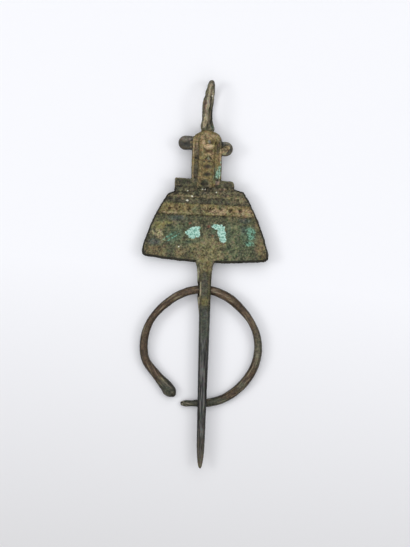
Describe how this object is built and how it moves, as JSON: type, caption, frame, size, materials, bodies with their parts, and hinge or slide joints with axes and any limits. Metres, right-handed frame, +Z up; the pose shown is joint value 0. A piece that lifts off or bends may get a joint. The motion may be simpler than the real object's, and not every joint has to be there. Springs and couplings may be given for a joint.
{
  "type": "fibula brooch",
  "caption": "Cast copper-alloy dress brooch lying flat: bell plate with notched head, lugs and end loop, long pin, and an open ring that swings in a slot under the pin.",
  "frame": {"origin": "on the table, under the middle of the bounding box", "axes": "+Y from the pin's tip to the loop, +Z up and out of the decorated front, +X to the right of it"},
  "size_m": [0.0392, 0.1198, 0.0087],
  "materials": {
    "cast_bronze": "cast copper alloy with a dull olive-brown patina, earth in its hollows and patches of pale verdigris",
    "ring_bronze": "hammered copper alloy wire, dark brown and worn half bright"
  },
  "bodies": {
    "brooch": {"plate_and_pin": "cast_bronze"},
    "ring": {"open_ring": "ring_bronze"}
  },
  "joints": [
    {"name": "ring_swing", "type": "hinge", "parent": "brooch", "child": "ring", "pos_m": [0, -0.00458, 0.00406], "axis": [1, 0, 0], "range_deg": [0, 150]}
  ]
}
